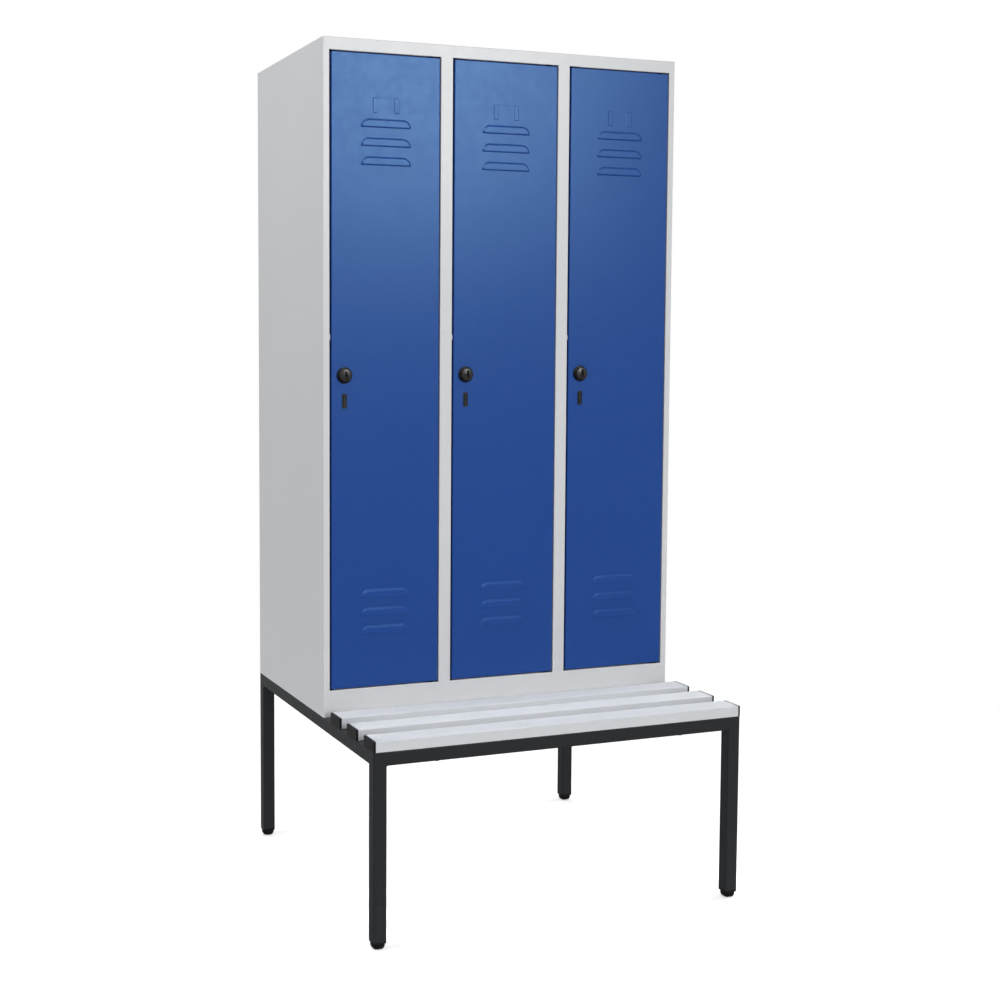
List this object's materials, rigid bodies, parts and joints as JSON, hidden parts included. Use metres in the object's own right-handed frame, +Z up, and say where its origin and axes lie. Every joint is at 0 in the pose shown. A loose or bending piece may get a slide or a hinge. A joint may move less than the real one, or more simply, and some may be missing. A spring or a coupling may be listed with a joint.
{
  "type": "clothes locker with bench",
  "caption": "Steel clothes locker with louvred hinged doors and turn-knob locks on a square tube underframe that carries a slatted bench in front of the doors.",
  "frame": {"origin": "on the floor, below the middle of the whole object's box", "axes": "+Z up, doors and bench face -Y, +X to the right as seen from the front"},
  "size_m": [0.9, 0.815, 1.955],
  "materials": {
    "door_blue": "semi-gloss powder coat",
    "body_grey": "fine textured powder coat",
    "frame_black": "satin powder coat",
    "slat_grey": "extruded, satin",
    "black_plastic": "moulded, satin",
    "grey_plastic": "moulded, satin",
    "zinc_steel": "zinc plated",
    "nylon": "moulded nylon"
  },
  "bodies": {
    "carcass": {"front_left_leg": "frame_black", "front_right_leg": "frame_black", "rear_left_leg": "frame_black", "rear_right_leg": "frame_black", "left_side_rail": "frame_black", "right_side_rail": "frame_black", "front_rail": "frame_black", "middle_rail": "frame_black", "rear_rail": "frame_black", "leg_feet": "black_plastic", "front_slat": "slat_grey", "middle_slat": "slat_grey", "rear_slat": "slat_grey", "slat_end_caps": "black_plastic", "underframe_screws": "zinc_steel", "left_side_wall": "body_grey", "right_side_wall": "body_grey", "back_wall": "body_grey", "roof": "body_grey", "floor_pan": "body_grey", "left_partition": "body_grey", "right_partition": "body_grey", "hinge_pivots": "zinc_steel", "door_buffers": "grey_plastic", "left_hat_shelf": "body_grey", "left_coat_rail": "zinc_steel", "middle_hat_shelf": "body_grey", "middle_coat_rail": "zinc_steel", "right_hat_shelf": "body_grey", "right_coat_rail": "zinc_steel"},
    "left_door": {"left_door_panel": "door_blue", "left_door_stiffener": "door_blue", "left_hinge_bushes": "nylon", "left_slot_plug": "black_plastic", "left_lock_housing": "black_plastic", "left_lock_nut": "zinc_steel"},
    "left_lock": {"left_lock_knob": "black_plastic", "left_lock_core": "black_plastic", "left_lock_cam": "zinc_steel"},
    "left_hook": {"left_coat_hook": "black_plastic"},
    "middle_door": {"middle_door_panel": "door_blue", "middle_door_stiffener": "door_blue", "middle_hinge_bushes": "nylon", "middle_slot_plug": "black_plastic", "middle_lock_housing": "black_plastic", "middle_lock_nut": "zinc_steel"},
    "middle_lock": {"middle_lock_knob": "black_plastic", "middle_lock_core": "black_plastic", "middle_lock_cam": "zinc_steel"},
    "middle_hook": {"middle_coat_hook": "black_plastic"},
    "right_door": {"right_door_panel": "door_blue", "right_door_stiffener": "door_blue", "right_hinge_bushes": "nylon", "right_slot_plug": "black_plastic", "right_lock_housing": "black_plastic", "right_lock_nut": "zinc_steel"},
    "right_lock": {"right_lock_knob": "black_plastic", "right_lock_core": "black_plastic", "right_lock_cam": "zinc_steel"},
    "right_hook": {"right_coat_hook": "black_plastic"}
  },
  "joints": [
    {"name": "left_door_hinge", "type": "hinge", "parent": "carcass", "child": "left_door", "pos_m": [-0.1795, -0.086, 1.2], "axis": [0, 0, 1], "range_deg": [0, 110]},
    {"name": "left_knob_turn", "type": "hinge", "parent": "left_door", "child": "left_lock", "pos_m": [-0.4, -0.0975, 1.205], "axis": [0, 1, 0], "range_deg": [0, 90]},
    {"name": "left_hook_slide", "type": "slide", "parent": "carcass", "child": "left_hook", "axis": [1, 0, 0], "range_m": [-0.13, 0.13]},
    {"name": "middle_door_hinge", "type": "hinge", "parent": "carcass", "child": "middle_door", "pos_m": [0.1205, -0.086, 1.2], "axis": [0, 0, 1], "range_deg": [0, 110]},
    {"name": "middle_knob_turn", "type": "hinge", "parent": "middle_door", "child": "middle_lock", "pos_m": [-0.1, -0.0975, 1.205], "axis": [0, 1, 0], "range_deg": [0, 90]},
    {"name": "middle_hook_slide", "type": "slide", "parent": "carcass", "child": "middle_hook", "axis": [1, 0, 0], "range_m": [-0.13, 0.13]},
    {"name": "right_door_hinge", "type": "hinge", "parent": "carcass", "child": "right_door", "pos_m": [0.4205, -0.086, 1.2], "axis": [0, 0, 1], "range_deg": [0, 110]},
    {"name": "right_knob_turn", "type": "hinge", "parent": "right_door", "child": "right_lock", "pos_m": [0.2, -0.0975, 1.205], "axis": [0, 1, 0], "range_deg": [0, 90]},
    {"name": "right_hook_slide", "type": "slide", "parent": "carcass", "child": "right_hook", "axis": [1, 0, 0], "range_m": [-0.13, 0.13]}
  ]
}
